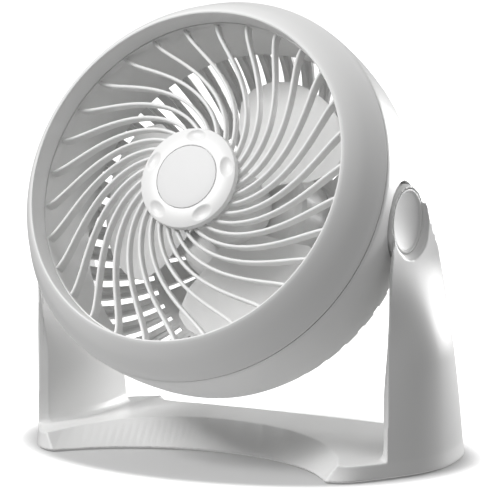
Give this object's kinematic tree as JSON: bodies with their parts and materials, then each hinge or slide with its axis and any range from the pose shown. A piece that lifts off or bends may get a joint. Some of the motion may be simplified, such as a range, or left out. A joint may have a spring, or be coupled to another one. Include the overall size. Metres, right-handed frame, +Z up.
{
  "type": "table fan",
  "caption": "Small white table air circulator: a round tilting head with a swirled front grille, held between the two arms of a moulded free-standing base.",
  "frame": {"origin": "on the resting surface, under the middle of the whole fan's bounding box at its rest tilt", "axes": "+Z up, the fan blows towards -Y, +X is to the right of someone who looks at the front grille"},
  "size_m": [0.2792, 0.1938, 0.2753],
  "materials": {
    "white_plastic": "satin moulded polypropylene, very fine spark texture",
    "cap_white": "glossy moulded ABS",
    "label_grey": "satin pale grey plastic",
    "pad_rubber": "matte soft rubber",
    "black_plastic": "matte black nylon",
    "zinc_steel": "bright zinc plate",
    "shaft_steel": "ground steel",
    "lamination_steel": "stacked steel laminations",
    "copper_winding": "enamelled copper wire",
    "bearing_bronze": "oil-filled sintered bronze",
    "bracket_aluminium": "die-cast aluminium"
  },
  "bodies": {
    "stand": {"stand": "white_plastic", "foot_pad_front_left": "pad_rubber", "foot_pad_front_right": "pad_rubber", "foot_pad_back_left": "pad_rubber", "foot_pad_back_right": "pad_rubber", "pivot_cap_right": "white_plastic", "pivot_cap_left": "white_plastic", "friction_washer_right": "black_plastic", "friction_washer_left": "black_plastic"},
    "head": {"front_ring": "white_plastic", "front_grille": "white_plastic", "rear_housing": "white_plastic", "motor_cover": "white_plastic", "centre_cap": "cap_white", "label_disc": "label_grey", "rotary_switch": "black_plastic", "cord_gland": "black_plastic", "housing_screw_1": "zinc_steel", "housing_screw_2": "zinc_steel", "housing_screw_3": "zinc_steel", "housing_screw_4": "zinc_steel", "pivot_screw_right": "zinc_steel", "pivot_screw_left": "zinc_steel", "pivot_washer_right": "zinc_steel", "pivot_washer_left": "zinc_steel", "motor_bolt_right": "zinc_steel", "motor_bolt_left": "zinc_steel", "stator_core": "lamination_steel", "stator_coil": "copper_winding", "bearing_front": "bearing_bronze", "bearing_rear": "bearing_bronze", "motor_front_bracket": "bracket_aluminium", "motor_rear_bracket": "bracket_aluminium"},
    "blade": {"fan_blade": "white_plastic", "blade_nut": "white_plastic", "motor_shaft": "shaft_steel", "rotor": "lamination_steel"},
    "knob": {"speed_knob": "white_plastic", "switch_spindle": "label_grey"}
  },
  "joints": [
    {"name": "head_tilt", "type": "hinge", "parent": "stand", "child": "head", "pos_m": [0, 0.00418, 0.1514], "axis": [-1, 0, 0], "range_deg": [-25.5, 64.5]},
    {"name": "blade_spin", "type": "hinge", "parent": "head", "child": "blade", "pos_m": [0, 0.00418, 0.1514], "axis": [0, -0.9026, 0.4305], "continuous": true},
    {"name": "knob_turn", "type": "hinge", "parent": "head", "child": "knob", "pos_m": [0, 0.00418, 0.1514], "axis": [0, -0.9026, 0.4305], "range_deg": [0, 135]}
  ]
}
